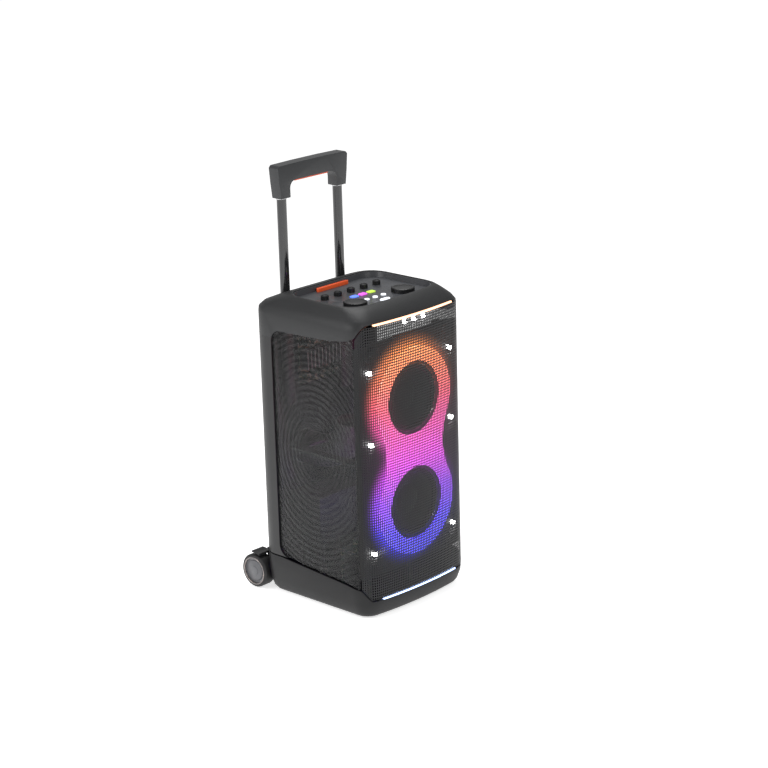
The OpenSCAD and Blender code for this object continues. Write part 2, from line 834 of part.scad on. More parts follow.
module handle_collars() {
    color("#a7a9ac") for (side = [-1, 1]) translate([side * rod_x, rod_y, collar_bottom])
        linear_extrude(2) difference() {
            stadium(rod_w + 3, rod_d + 3);
            stadium(rod_w + 0.1, rod_d + 0.1);
        }
}

module grip_outline() {
    leg_in = rod_x - rod_w / 2 - 3;
    leg_out = rod_x + rod_w / 2 + 2;
    low = collar_bottom + 2;
    r = 16;
    polygon(concat([[leg_in, low], [leg_out, low], [grip_half_w - 3, handle_top - 40],
        [grip_half_w, handle_top - 6], [grip_half_w - 5, handle_top - 1], [40, handle_top],
        [-40, handle_top], [-grip_half_w + 5, handle_top - 1], [-grip_half_w, handle_top - 6],
        [-grip_half_w + 3, handle_top - 40], [-leg_out, low], [-leg_in, low]],
        arc(-leg_in + r, grip_arch_z - r, r, 180, 90, arc_steps),
        arc(leg_in - r, grip_arch_z - r, r, 90, 0, arc_steps)));
}

module handle_grip() {
    slot_w = 2 * (rod_x - rod_w / 2 - 22);
    color("#38393c") difference() {
        along_y(rod_y - grip_d / 2, grip_d) grip_outline();
        for (side = [-1, 1]) translate([side * rod_x, rod_y, collar_bottom])
            linear_extrude(collar_h + 1) stadium(rod_w + 0.2, rod_d + 0.2);
        translate([0, rod_y, grip_arch_z - 1]) rounded_block(slot_w + 1, 17, 11, 4);
    }
}

// Squeeze bar in the underside of the grip that frees the lock of the rods
module handle_release_bar() {
    slot_w = 2 * (rod_x - rod_w / 2 - 22);
    color("#f0682e") translate([0, rod_y, grip_arch_z - release_t + 1])
        rounded_block(slot_w, 16, release_t + 4, 3);
}

// ---- control tray ---------------------------------------------------------------------

module stem_hole(x, y, r) {
    translate([x, y, tray_floor - floor_t - 1]) cylinder(r = r, h = floor_t + 2);
}

module control_panel() {
    color("#3a3b3f") difference() {
        union() {
            translate([0, 0, tray_floor - floor_t]) linear_extrude(floor_t)
                polygon(tray_plan(3 + fit));
            translate([0, 0, tray_floor]) linear_extrude(tray_depth - 1.5) difference() {
                polygon(tray_plan(3 + fit));
                polygon(tray_plan(3 + fit + tray_wall_t));
            }
        }
        for (side = [-1, 1]) stem_hole(side * dial_x, dial_y, stem_r + running);
        for (i = [0:4]) stem_hole((i - 2) * knob_pitch, knob_y, stem_r + running);
        for (i = [-1:1]) {
            translate([i * button_pitch, pad_y, tray_floor - floor_t - 1])
                rounded_block(18 + 2 * fit, 13 + 2 * fit, floor_t + 2, 3);
            stem_hole(i * button_pitch, button_y, 5.5 + fit);
        }
        translate([0, power_y, tray_floor - floor_t - 1])
            linear_extrude(floor_t + 2) stadium(26 + 2 * fit, 10 + 2 * fit);
    }
}

module device_rest() {
    color("#e8622c") translate([0, tray_rear_y - 14, tray_floor]) difference() {
        rounded_block(92, 7, 8, 3);
        translate([-50, 1, 5]) cube([100, 1.5, 6]);
    }
}

module turning_knob(x, y, r, h) {
    translate([x, y, tray_floor]) {
        translate([0, 0, -stem_h]) cylinder(r = stem_r, h = stem_h + 1);
        difference() {
            translate([0, 0, fit]) union() {
                cylinder(r = r, h = h - 2);
                translate([0, 0, h - 2]) cylinder(r = r - 1, h = 1.5);
            }
            translate([-0.8, r * 0.45, h - 1.5]) cube([1.6, r * 0.4, 3]);
        }
    }
}

// Pads and buttons stand 2 mm proud of the tray and have a flange below it
module pressed(x, y) {
    translate([x, y, tray_floor - floor_t - fit]) {
        linear_extrude(floor_t + fit + 2) children(0);
        translate([0, 0, -1]) linear_extrude(1) children(1);
    }
}

module pressed_round(i) {
    color("#e9eaec") pressed(i * button_pitch, button_y) {
        circle(5.5);
        circle(7);
    }
}

module pad(i, tint) {
    color(tint) pressed(i * button_pitch, pad_y) {
        rounded_rect(18, 13, 3);
        rounded_rect(21, 16, 3);
    }
}

module power_button() {
    color("#e9eaec") pressed(0, power_y) {
        stadium(26, 10);
        stadium(29, 13);
    }
}

base_plinth();
rubber_feet();
rear_housing();
top_shell();
control_panel();
side_panel(-1);  // side_panel_left
side_panel(1);  // side_panel_right
front_grille();
front_baffle();
light_ring();
top_light_strip();
bottom_light_strip();
strobe_lights();
woofer_basket(upper_z);  // upper_woofer_basket
woofer_magnet(upper_z);  // upper_woofer_magnet
woofer_surround(upper_z);  // upper_woofer_surround
woofer_cone(upper_z);  // upper_woofer_cone
woofer_basket(lower_z);  // lower_woofer_basket
woofer_magnet(lower_z);  // lower_woofer_magnet
woofer_surround(lower_z);  // lower_woofer_surround
woofer_cone(lower_z);  // lower_woofer_cone
tweeter(-1);  // left_tweeter
tweeter(1);  // right_tweeter
reflex_port();
amplifier_board();
heat_sink();
power_supply();
battery_pack();
battery_door();
io_panel();
io_jacks();
ac_inlet();
cabinet_brace();
handle_guides();
axle_carrier();
wheel_axle();
device_rest();
rear_screws();
handle_rods();
handle_collars();
handle_grip();
handle_release_bar();
tyre(-1);  // left_tyre
hub(-1);  // left_hub
tyre(1);  // right_tyre
hub(1);  // right_hub
color("#242528") turning_knob(-dial_x, dial_y, dial_r, dial_h);  // left_dial
color("#242528") turning_knob(dial_x, dial_y, dial_r, dial_h);  // right_dial
color("#242528") turning_knob(-2 * knob_pitch, knob_y, knob_r, knob_h);  // knob_1
color("#242528") turning_knob(-knob_pitch, knob_y, knob_r, knob_h);  // knob_2
color("#242528") turning_knob(0, knob_y, knob_r, knob_h);  // knob_3
color("#242528") turning_knob(knob_pitch, knob_y, knob_r, knob_h);  // knob_4
color("#242528") turning_knob(2 * knob_pitch, knob_y, knob_r, knob_h);  // knob_5
pad(-1, "#5a78d8");  // pad_1
pad(0, "#c65fd0");  // pad_2
pad(1, "#b7d84a");  // pad_3
pressed_round(-1);  // button_1
pressed_round(0);  // button_2
pressed_round(1);  // button_3
power_button();
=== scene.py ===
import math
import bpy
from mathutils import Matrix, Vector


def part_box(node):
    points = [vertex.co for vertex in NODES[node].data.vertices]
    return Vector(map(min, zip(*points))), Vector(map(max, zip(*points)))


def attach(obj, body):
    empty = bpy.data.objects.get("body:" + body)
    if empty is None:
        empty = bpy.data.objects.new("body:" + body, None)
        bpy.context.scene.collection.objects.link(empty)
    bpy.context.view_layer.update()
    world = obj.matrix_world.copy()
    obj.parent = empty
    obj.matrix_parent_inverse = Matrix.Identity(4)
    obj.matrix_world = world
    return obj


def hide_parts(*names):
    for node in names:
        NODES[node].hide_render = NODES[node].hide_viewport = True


bl_info = {
    "name": "See-through Party Speaker",
    "version": (1, 0, 0),
    "blender": (4, 5, 0),
    "location": "3D View > Sidebar > Speaker",
    "description": "Builds the finished look of a wheeled party speaker round its CAD frame",
    "category": "Add Mesh",
}

import bmesh
import bpy
from bpy.props import FloatProperty, FloatVectorProperty, IntProperty, PointerProperty
from mathutils import Matrix, Vector

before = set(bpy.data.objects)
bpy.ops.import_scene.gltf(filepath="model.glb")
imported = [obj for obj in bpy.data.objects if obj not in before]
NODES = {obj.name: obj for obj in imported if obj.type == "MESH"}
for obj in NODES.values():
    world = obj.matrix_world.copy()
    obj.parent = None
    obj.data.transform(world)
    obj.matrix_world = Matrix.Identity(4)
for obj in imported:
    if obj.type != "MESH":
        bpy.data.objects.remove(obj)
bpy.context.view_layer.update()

GRILLE_LOW, GRILLE_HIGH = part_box("front_grille")
RING_LOW, RING_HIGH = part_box("light_ring")
UPPER_CENTRE = sum(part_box("upper_woofer_magnet"), Vector()) / 2
LOWER_CENTRE = sum(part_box("lower_woofer_magnet"), Vector()) / 2
GRILLE_INSET = 0.0012     # front of the grille behind the cabinet's outline
FRONT_Y = GRILLE_LOW.y - GRILLE_INSET
HALF_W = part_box("top_shell")[1].x
RING_EDGE = 0.002         # from the widest place of the light ring in to its lobes' radius
WAIST_BLEND = 0.06        # how softly the two lobes run together
RIPPLE_CENTRE = (-0.040, 0.345)      # (y, z) on the side panels
RIPPLE_SQUASH = 0.80      # height of a ripple's turn against its depth
RIPPLE_PITCH = 0.0105


# ---- sizes and colours ----------------------------------------------------------------


class SpeakerSizes(bpy.types.PropertyGroup):
    hole_columns: IntProperty(
        name="Hole columns", description="Holes across the grille", default=64, min=20, max=90)
    hole_rows: IntProperty(
        name="Hole rows", description="Holes up the grille", default=104, min=30, max=140)
    web: FloatProperty(
        name="Web", description="Metal left round each hole of the grille",
        default=0.00108, min=0.0003, max=0.002, unit="LENGTH")
    sheet: FloatProperty(
        name="Sheet", description="Thickness of the perforated sheet",
        default=0.001, min=0.0004, max=0.0016, unit="LENGTH")
    edge: FloatProperty(
        name="Edge rounding", description="Radius on the edges of moulded pieces",
        default=0.0012, min=0.0002, max=0.003, unit="LENGTH")
    knurls: IntProperty(
        name="Knurls", description="Grooves round a large dial", default=48, min=12, max=90)


class SpeakerColours(bpy.types.PropertyGroup):
    shell: FloatVectorProperty(
        name="Shell", description="Colour of the top shell", subtype="COLOR", size=3,
        default=(0.0125, 0.0130, 0.0140), min=0, max=1)
    black: FloatVectorProperty(
        name="Black", description="Colour of the base and the rear", subtype="COLOR", size=3,
        default=(0.0052, 0.0052, 0.0058), min=0, max=1)
    smoke: FloatVectorProperty(
        name="Smoke", description="Tint of the side panels", subtype="COLOR", size=3,
        default=(0.008, 0.0085, 0.009), min=0, max=1)
    accent: FloatVectorProperty(
        name="Accent", description="Colour of the squeeze bar and the phone rest",
        subtype="COLOR", size=3, default=(0.85, 0.11, 0.022), min=0, max=1)


# ---- helpers --------------------------------------------------------------------------


def alone(obj):
    """Makes obj the only selected and the active object."""
    if bpy.context.mode != "OBJECT":
        bpy.ops.object.mode_set(mode="OBJECT")
    bpy.ops.object.select_all(action="DESELECT")
    obj.select_set(True)
    bpy.context.view_layer.objects.active = obj


def pick_faces(obj, test):
    """In edit mode, selects just the faces whose centre and normal pass a test."""
    bm = bmesh.from_edit_mesh(obj.data)
    bpy.context.tool_settings.mesh_select_mode = (False, False, True)
    for part in (*bm.faces, *bm.edges, *bm.verts):
        part.select = False
    for face in bm.faces:
        if test(face.calc_center_median(), face.normal):
            face.select_set(True)
    bmesh.update_edit_mesh(obj.data)


def apply_modifier(obj, kind, **settings):
    modifier = obj.modifiers.new(kind.title(), kind)
    for key, value in settings.items():
        setattr(modifier, key, value)
    alone(obj)
    bpy.ops.object.modifier_apply(modifier=modifier.name)


def settle(obj, name, body, material, replaced=(), angle=35):
    """Applies the place, smooths the shading and hangs the piece on its body."""
    obj.name = obj.data.name = name
    alone(obj)
    bpy.ops.object.transform_apply(location=True, rotation=True, scale=True)
    bpy.ops.object.shade_smooth_by_angle(angle=math.radians(angle))
    obj.data.materials.clear()
    obj.data.materials.append(material)
    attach(obj, body)
    if replaced:
        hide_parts(*replaced)
    return obj


def outward(obj):
    """Turns every face of a closed mesh outwards."""
    alone(obj)
    bpy.ops.object.mode_set(mode="EDIT")
    bpy.ops.mesh.select_all(action="SELECT")
    bpy.ops.mesh.normals_make_consistent(inside=False)
    bpy.ops.object.mode_set(mode="OBJECT")


def moulded(node, name, body, material, edge=0.0, angle=35, segments=2):
    """A joined and edge-rounded copy of a CAD node, which then stands for it."""
    mesh = NODES[node].data.copy()
    obj = bpy.data.objects.new(name, mesh)
    bpy.context.scene.collection.objects.link(obj)
    alone(obj)
    bpy.ops.object.mode_set(mode="EDIT")
    bpy.ops.mesh.select_all(action="SELECT")
    bpy.ops.mesh.remove_doubles(threshold=0.00001)
    bpy.ops.mesh.dissolve_limited(angle_limit=math.radians(0.5))
    bpy.ops.object.mode_set(mode="OBJECT")
    if edge:
        apply_modifier(obj, "BEVEL", width=edge, segments=segments, limit_method="ANGLE",
                       angle_limit=math.radians(38), use_clamp_overlap=True)
    return settle(obj, name, body, material, (node,), angle)


# ---- node groups and materials --------------------------------------------------------


def new_group(name, inputs, outputs):
    group = bpy.data.node_groups.new(name, "ShaderNodeTree")
    for label, kind, default in inputs:
        socket = group.interface.new_socket(name=label, in_out="INPUT", socket_type=kind)
        if default is not None:
            socket.default_value = default
    for label, kind in outputs:
        group.interface.new_socket(name=label, in_out="OUTPUT", socket_type=kind)
    return group, group.nodes.new("NodeGroupInput"), group.nodes.new("NodeGroupOutput")


def link(tree, source, target):
    tree.links.new(source, target)


def maths(tree, operation, a, b=None, c=None, clamp=False):
    """Output of a math node whose operands are numbers or other nodes' outputs."""
    node = tree.nodes.new("ShaderNodeMath")
    node.operation, node.use_clamp = operation, clamp
    for i, value in enumerate((a, b, c)):
        if value is None:
            continue
        if isinstance(value, (int, float)):
            node.inputs[i].default_value = value
        else:
            link(tree, value, node.inputs[i])
    return node.outputs[0]


def moulded_grain():
    """Fine texture of moulded plastic or paint, with cloudy patches and faint rub marks."""
    group, gi, go = new_group(
        "Moulded grain",
        [("Vector", "NodeSocketVector", None), ("Size", "NodeSocketFloat", 900.0),
         ("Colour", "NodeSocketColor", (0.02, 0.02, 0.02, 1)),
         ("Roughness", "NodeSocketFloat", 0.5), ("Patchiness", "NodeSocketFloat", 0.25)],
        [("Colour", "NodeSocketColor"), ("Roughness", "NodeSocketFloat"),
         ("Height", "NodeSocketFloat")])
    fine = group.nodes.new("ShaderNodeTexNoise")
    fine.inputs["Detail"].default_value = 2.0
    link(group, gi.outputs["Vector"], fine.inputs["Vector"])
    link(group, gi.outputs["Size"], fine.inputs["Scale"])
    cloud = group.nodes.new("ShaderNodeTexNoise")
    cloud.inputs["Scale"].default_value = 14.0
    cloud.inputs["Detail"].default_value = 5.0
    link(group, gi.outputs["Vector"], cloud.inputs["Vector"])
    swing = maths(group, "SUBTRACT", cloud.outputs["Fac"], 0.5)
    swing = maths(group, "MULTIPLY", swing, gi.outputs["Patchiness"])
    gain = maths(group, "MULTIPLY_ADD", swing, 1.6, 1.0)
    speck = maths(group, "MULTIPLY_ADD", fine.outputs["Fac"], 0.5, 0.75)
    gain = maths(group, "MULTIPLY", gain, speck)
    link(group, scaled(group, gi.outputs["Colour"], gain), go.inputs["Colour"])
    rough = maths(group, "ADD", gi.outputs["Roughness"], swing, clamp=True)
    link(group, rough, go.inputs["Roughness"])
    link(group, fine.outputs["Fac"], go.inputs["Height"])
    return group


def light_rise():
    """Colour of the light ring by height, from blue below to orange above."""
    group, gi, go = new_group(
        "Light rise", [("Vector", "NodeSocketVector", None)], [("Colour", "NodeSocketColor")])
    split = group.nodes.new("ShaderNodeSeparateXYZ")
    link(group, gi.outputs["Vector"], split.inputs[0])
    spread = group.nodes.new("ShaderNodeMapRange")
    spread.inputs["From Min"].default_value = RING_LOW.z
    spread.inputs["From Max"].default_value = RING_HIGH.z
    link(group, split.outputs["Z"], spread.inputs["Value"])
    ramp = group.nodes.new("ShaderNodeValToRGB")
    stops = [
        (0.0, (0.035, 0.03, 0.62)), (0.14, (0.09, 0.05, 0.95)), (0.30, (0.36, 0.07, 1.0)),
        (0.46, (0.92, 0.08, 0.86)), (0.60, (1.0, 0.10, 0.50)), (0.74, (1.0, 0.12, 0.20)),
        (0.88, (1.0, 0.22, 0.10)), (1.0, (1.0, 0.30, 0.08))]
    while len(ramp.color_ramp.elements) < len(stops):
        ramp.color_ramp.elements.new(0.5)
    for element, (place, colour) in zip(ramp.color_ramp.elements, stops):
        element.position = place
        element.color = (*colour, 1)
    link(group, spread.outputs[0], ramp.inputs["Fac"])
    link(group, ramp.outputs["Color"], go.inputs["Colour"])
    return group


def lobe_distance():
    """Distance outside the figure-of-eight outline of the light ring, in metres."""
    group, gi, go = new_group(
        "Lobe distance", [("Vector", "NodeSocketVector", None)],
        [("Distance", "NodeSocketFloat")])
    split = group.nodes.new("ShaderNodeSeparateXYZ")
    link(group, gi.outputs["Vector"], split.inputs[0])
    radius = RING_HIGH.x - RING_EDGE
    found = []
    for centre in (UPPER_CENTRE, LOWER_CENTRE):
        dz = maths(group, "SUBTRACT", split.outputs["Z"], centre.z)
        square = maths(group, "ADD", maths(group, "MULTIPLY", dz, dz),
                       maths(group, "MULTIPLY", split.outputs["X"], split.outputs["X"]))
        found.append(maths(group, "SUBTRACT", maths(group, "SQRT", square), radius))
    nearest = maths(group, "SMOOTH_MIN", found[0], found[1], WAIST_BLEND)
    link(group, nearest, go.inputs["Distance"])
    return group


def metre_vector(tree):
    """Place on the piece in metres, in the shared frame."""
    return tree.nodes.new("ShaderNodeTexCoord").outputs["Object"]


def split_place(tree):
    split = tree.nodes.new("ShaderNodeSeparateXYZ")
    link(tree, metre_vector(tree), split.inputs[0])
    return split


def use_group(tree, key):
    """Puts one of the shared groups into a material, fed with the place in metres."""
    node = tree.nodes.new("ShaderNodeGroup")
    node.node_tree = GROUPS[key]
    link(tree, metre_vector(tree), node.inputs["Vector"])
    return node


def scaled(tree, colour, amount):
    """A colour, or another node's colour, times a number."""
    node = tree.nodes.new("ShaderNodeVectorMath")
    node.operation = "SCALE"
    if isinstance(colour, tuple):
        node.inputs[0].default_value = colour
    else:
        link(tree, colour, node.inputs[0])
    link(tree, amount, node.inputs["Scale"])
    return node.outputs[0]


def uneven(tree, scale, swing):
    """Noise that wanders about 1 by half of swing each way."""
    noise = tree.nodes.new("ShaderNodeTexNoise")
    noise.inputs["Scale"].default_value = scale
    link(tree, metre_vector(tree), noise.inputs["Vector"])
    return maths(tree, "MULTIPLY_ADD", noise.outputs["Fac"], swing, 1 - swing / 2)


def plain_material(name):
    material = bpy.data.materials.new(name)
    material.use_nodes = True
    return material, material.node_tree, material.node_tree.nodes["Principled BSDF"]


def finish(name, colour, roughness, metallic=0.0, size=900.0, depth=0.02, patch=0.25,
           specular=0.5, coat=0.0, coat_rough=0.1):
    """A moulded, painted or plated finish with its own grain, its depth in millimetres."""
    material, tree, shader = plain_material(name)
    grain = use_group(tree, "grain")
    grain.inputs["Size"].default_value = size
    grain.inputs["Colour"].default_value = (*colour, 1)
    grain.inputs["Roughness"].default_value = roughness
    grain.inputs["Patchiness"].default_value = patch
    link(tree, grain.outputs["Colour"], shader.inputs["Base Color"])
    link(tree, grain.outputs["Roughness"], shader.inputs["Roughness"])
    bump = tree.nodes.new("ShaderNodeBump")
    bump.inputs["Strength"].default_value = 0.6
    bump.inputs["Distance"].default_value = depth / 1000
    link(tree, grain.outputs["Height"], bump.inputs["Height"])
    link(tree, bump.outputs[0], shader.inputs["Normal"])
    shader.inputs["Metallic"].default_value = metallic
    shader.inputs["Specular IOR Level"].default_value = specular
    shader.inputs["Coat Weight"].default_value = coat
    shader.inputs["Coat Roughness"].default_value = coat_rough
    return material


def parts_of(material):
    tree = material.node_tree
    bump = next(n for n in tree.nodes if n.type == "BUMP")
    return tree, tree.nodes["Principled BSDF"], bump


def second_bump(tree, shader, first, height, strength, distance):
    """Lays a coarser relief under the grain of a finish."""
    bump = tree.nodes.new("ShaderNodeBump")
    bump.inputs["Strength"].default_value = strength
    bump.inputs["Distance"].default_value = distance
    link(tree, height, bump.inputs["Height"])
    link(tree, first.outputs[0], bump.inputs["Normal"])
    link(tree, bump.outputs[0], shader.inputs["Normal"])


def smoked_panel(colours):
    """See-through dark plastic with pressed ripples round a centre below the middle."""
    material = finish("Smoked panel", colours.smoke, 0.22, size=1500, depth=0.004, patch=0.1)
    tree, shader, grain = parts_of(material)
    split = split_place(tree)
    dy = maths(tree, "SUBTRACT", split.outputs["Y"], RIPPLE_CENTRE[0])
    dz = maths(tree, "SUBTRACT", split.outputs["Z"], RIPPLE_CENTRE[1])
    dz = maths(tree, "MULTIPLY", dz, RIPPLE_SQUASH)
    far = maths(tree, "SQRT", maths(tree, "ADD", maths(tree, "MULTIPLY", dy, dy),
                                    maths(tree, "MULTIPLY", dz, dz)))
    wave = maths(tree, "SINE", maths(tree, "MULTIPLY", far, 2 * math.pi / RIPPLE_PITCH))
    wave = maths(tree, "MULTIPLY_ADD", wave, 0.5, 0.5)
    start = maths(tree, "MULTIPLY_ADD", far, 60.0, -2.0, clamp=True)
    wave = maths(tree, "MULTIPLY", wave, start)
    second_bump(tree, shader, grain, wave, 0.6, 0.0009)
    # The crests let a little less through than the troughs
    veil = maths(tree, "MULTIPLY_ADD", wave, 0.16, 0.30)
    link(tree, veil, shader.inputs["Alpha"])
    return material


def glowing(name, colour, strength):
    """Milky light guide, a little uneven where its lamps sit."""
    material, tree, shader = plain_material(name)
    tone = scaled(tree, colour, uneven(tree, 60.0, 0.5))
    link(tree, tone, shader.inputs["Emission Color"])
    link(tree, tone, shader.inputs["Base Color"])
    shader.inputs["Roughness"].default_value = 0.35
    shader.inputs["Emission Strength"].default_value = strength
    return material


def ring_glow():
    """The light ring's own glow, which changes colour with height."""
    material, tree, shader = plain_material("Light ring")
    rise = use_group(tree, "rise")
    tone = scaled(tree, rise.outputs["Colour"], uneven(tree, 35.0, 0.3))
    link(tree, tone, shader.inputs["Emission Color"])
    shader.inputs["Base Color"].default_value = (0.5, 0.5, 0.5, 1)
    shader.inputs["Roughness"].default_value = 0.4
    shader.inputs["Emission Strength"].default_value = 3.8
    return material


def painted_spill_board(name, colour, strength, reach):
    """Dark surface with a painted glow: the light ring's spill is painted on as emission in the
    ring's colour, out as far as reach.
    """
    material = finish(name, colour, 0.55, size=500, depth=0.03)
    tree, shader, _ = parts_of(material)
    rise, away = use_group(tree, "rise"), use_group(tree, "lobe")
    # Painted glow of the ring's spilt light: strongest at the ring's outline, fading to nothing
    # at reach
    painted_spill_mask = maths(tree, "DIVIDE", away.outputs["Distance"], reach)
    painted_spill_mask = maths(tree, "SUBTRACT", 1.0, maths(tree, "MAXIMUM", painted_spill_mask, 0.0), clamp=True)
    painted_spill_mask = maths(tree, "POWER", painted_spill_mask, 2.2)
    link(tree, scaled(tree, rise.outputs["Colour"], painted_spill_mask), shader.inputs["Emission Color"])
    shader.inputs["Emission Strength"].default_value = strength
    return material


def dimpled_tube():
    """Satin grey tube with a honeycomb of dimples."""
    material = finish("Dimpled tube", (0.10, 0.102, 0.108), 0.38, size=600, depth=0.01)
    tree, shader, grain = parts_of(material)
    cells = tree.nodes.new("ShaderNodeTexVoronoi")
    cells.feature = "F1"
    cells.inputs["Scale"].default_value = 95.0
    cells.inputs["Randomness"].default_value = 0.15
    link(tree, metre_vector(tree), cells.inputs["Vector"])
    second_bump(tree, shader, grain, cells.outputs["Distance"], 1.0, 0.004)
    return material


def circuit_board():
    """Green board with tracks."""
    green, track_colour = (0.012, 0.05, 0.026), (0.20, 0.19, 0.12)
    material = finish("Circuit board", green, 0.42, size=500, depth=0.01)
    tree, shader, _ = parts_of(material)
    cells = tree.nodes.new("ShaderNodeTexVoronoi")
    cells.distance = "CHEBYCHEV"
    cells.inputs["Scale"].default_value = 150.0
    link(tree, metre_vector(tree), cells.inputs["Vector"])
    track = maths(tree, "GREATER_THAN", cells.outputs["Distance"], 0.52)
    mix = tree.nodes.new("ShaderNodeMix")
    mix.data_type = "RGBA"
    mix.inputs["A"].default_value = (*green, 1)
    mix.inputs["B"].default_value = (*track_colour, 1)
    link(tree, track, mix.inputs["Factor"])
    link(tree, mix.outputs["Result"], shader.inputs["Base Color"])
    return material


GROUPS = {}
FINISHES = {}


def mix_finishes(colours):
    """Makes every finish of the speaker once."""
    GROUPS.update(grain=moulded_grain(), rise=light_rise(), lobe=lobe_distance())
    f = FINISHES
    f["shell"] = finish("Shell plastic", colours.shell, 0.50, size=1500, depth=0.16,
                        patch=0.14, specular=0.42)
    f["black"] = finish("Base plastic", colours.black, 0.52, size=1500, depth=0.14,
                        patch=0.14, specular=0.40)
    f["rear"] = finish("Rear plastic", colours.black, 0.44, size=1500, depth=0.08, patch=0.14)
    f["tray"] = finish("Tray plastic", (0.050, 0.052, 0.058), 0.36, size=1800, depth=0.05)
    f["smoke"] = smoked_panel(colours)
    f["grille"] = finish("Grille paint", (0.012, 0.012, 0.013), 0.40, metallic=0.3, size=1200,
                         depth=0.03)
    # The baffle carries a painted glow of the light ring's spill
    f["board"] = painted_spill_board("Baffle", (0.010, 0.010, 0.011), 2.6, 0.034)
    f["ring"] = ring_glow()
    f["warm"] = glowing("Warm strip", (1.0, 0.50, 0.30), 2.2)
    f["cool"] = glowing("Cool strip", (0.45, 0.60, 1.0), 3.2)
    f["white"] = glowing("Lamp", (1.0, 1.0, 1.0), 26.0)
    f["button"] = glowing("White button", (0.85, 0.88, 0.95), 0.9)
    f["blue"] = glowing("Blue pad", (0.10, 0.20, 0.85), 0.9)
    f["magenta"] = glowing("Magenta pad", (0.65, 0.09, 0.65), 0.9)
    f["lime"] = glowing("Lime pad", (0.42, 0.62, 0.06), 0.9)
    f["basket"] = finish("Stamped steel", (0.05, 0.05, 0.054), 0.34, metallic=0.85, size=900,
                         depth=0.02)
    f["magnet"] = finish("Magnet", (0.05, 0.045, 0.043), 0.42, metallic=0.4, size=700)
    f["surround"] = finish("Roll rubber", (0.008, 0.008, 0.009), 0.22, size=700, depth=0.01,
                           coat=0.6, coat_rough=0.15)
    f["cone"] = finish("Cone", (0.014, 0.014, 0.016), 0.55, size=800, depth=0.1)
    f["tweeter"] = finish("Tweeter", (0.06, 0.06, 0.065), 0.3, metallic=0.7, size=900)
    f["port"] = dimpled_tube()
    f["circuit"] = circuit_board()
    f["sink"] = finish("Anodised fins", (0.35, 0.36, 0.37), 0.35, metallic=1.0, size=900)
    f["box"] = finish("Inner box", (0.045, 0.046, 0.050), 0.48, size=700, depth=0.05)
    f["inner"] = finish("Inner plastic", (0.030, 0.031, 0.034), 0.45, size=700, depth=0.05)
    f["steel"] = finish("Plated steel", (0.42, 0.42, 0.43), 0.28, metallic=1.0, size=1200,
                        depth=0.01)
    f["jack"] = finish("Jack metal", (0.30, 0.30, 0.31), 0.3, metallic=1.0, size=1200)
    f["screw"] = finish("Black screw", (0.05, 0.05, 0.052), 0.35, metallic=1.0, size=1200)
    f["accent"] = finish("Orange rubber", colours.accent, 0.45, size=1100, depth=0.05,
                         patch=0.1)
    f["rod"] = finish("Gloss tube", (0.010, 0.010, 0.011), 0.16, size=700,
                      depth=0.004, patch=0.08, coat=1.0, coat_rough=0.05)
    f["collar"] = finish("Bright ring", (0.55, 0.55, 0.56), 0.18, metallic=1.0, size=900,
                         depth=0.004)
    f["grip"] = finish("Grip plastic", (0.022, 0.023, 0.025), 0.42, size=1500, depth=0.08,
                       patch=0.14)
    f["tyre"] = finish("Tyre rubber", (0.008, 0.008, 0.0085), 0.55, size=900, depth=0.08)
    f["hub"] = finish("Hub plastic", (0.11, 0.112, 0.12), 0.35, size=1200, depth=0.05)
    f["hub_ring"] = finish("Hub ring", (0.45, 0.38, 0.35), 0.22, metallic=1.0, size=900,
                           depth=0.004)
    f["knob"] = finish("Knob plastic", (0.010, 0.010, 0.011), 0.32, size=1500, depth=0.04)
    f["feet"] = finish("Foot rubber", (0.01, 0.01, 0.01), 0.6, size=800, depth=0.06)


def coat_node(node, key):
    """Puts a finish on a CAD node that is shown as it is."""
    mesh = NODES[node].data
    mesh.materials.clear()
    mesh.materials.append(FINISHES[key])


# ---- grille ---------------------------------------------------------------------------

# Lower edge of the top shell and upper edge of the base round the front, as (y, z)
SHELL_EDGE = [(0.008, 0.597), (-0.0915, 0.600), (-0.1415, 0.607), (-0.1595, 0.615),
              (-0.1675, 0.629), (-0.1745, 0.6405), (-0.2115, 0.6415)]
BASE_EDGE = [(0.0, 0.084), (-0.1215, 0.074), (-0.1585, 0.068), (-0.1665, 0.058),
             (-0.1745, 0.043), (-0.2115, 0.043)]
SHEET_INSET = 0.0013      # middle of the sheet behind the cabinet's outline
GAP_BELOW = 0.0042        # from the base up to the sheet
GAP_ABOVE = 0.0045        # from the sheet up to the top shell
SIDE_END = 0.0004         # how far short of the side panels the sheet ends


def height_at(edge, y):
    """Height of one of those edges at a depth y."""
    for (y0, z0), (y1, z1) in zip(edge, edge[1:]):
        if y >= y1:
            return z0 + (z1 - z0) * (y0 - y) / (y0 - y1)
    return edge[-1][1]


def front_path(inset, bow=0.92, corner=0.046, steps=40):
    """Points round the bowed front and its corners, from the left side to the right."""
    hw, fy, rf = HALF_W - inset, FRONT_Y + inset, corner - inset
    bow = bow - inset
    dx = hw - rf
    cy = fy + bow - math.sqrt((bow - rf) ** 2 - dx * dx)
    meet = math.atan2(cy - fy - bow, dx)
    stop = GRILLE_HIGH.y - SIDE_END
    half = [Vector((bow * math.cos(a), fy + bow + bow * math.sin(a)))
            for a in (-math.pi / 2 + (meet + math.pi / 2) * i / steps for i in range(steps + 1))]
    half += [Vector((dx + rf * math.cos(a), cy + rf * math.sin(a)))
             for a in (meet - meet * i / steps for i in range(1, steps + 1))]
    half = [p for p in half if p.y <= stop]
    return [Vector((-p.x, p.y)) for p in reversed(half[1:])] + half


def walk(path):
    """A function from 0..1 to a point that far along a path."""
    lengths = [0.0]
    for a, b in zip(path, path[1:]):
        lengths.append(lengths[-1] + (b - a).length)

    def place(t):
        want = t * lengths[-1]
        for i in range(len(path) - 1):
            if lengths[i + 1] >= want - 1e-12:
                share = (want - lengths[i]) / max(lengths[i + 1] - lengths[i], 1e-12)
                return path[i].lerp(path[i + 1], share)
        return path[-1]

    return place


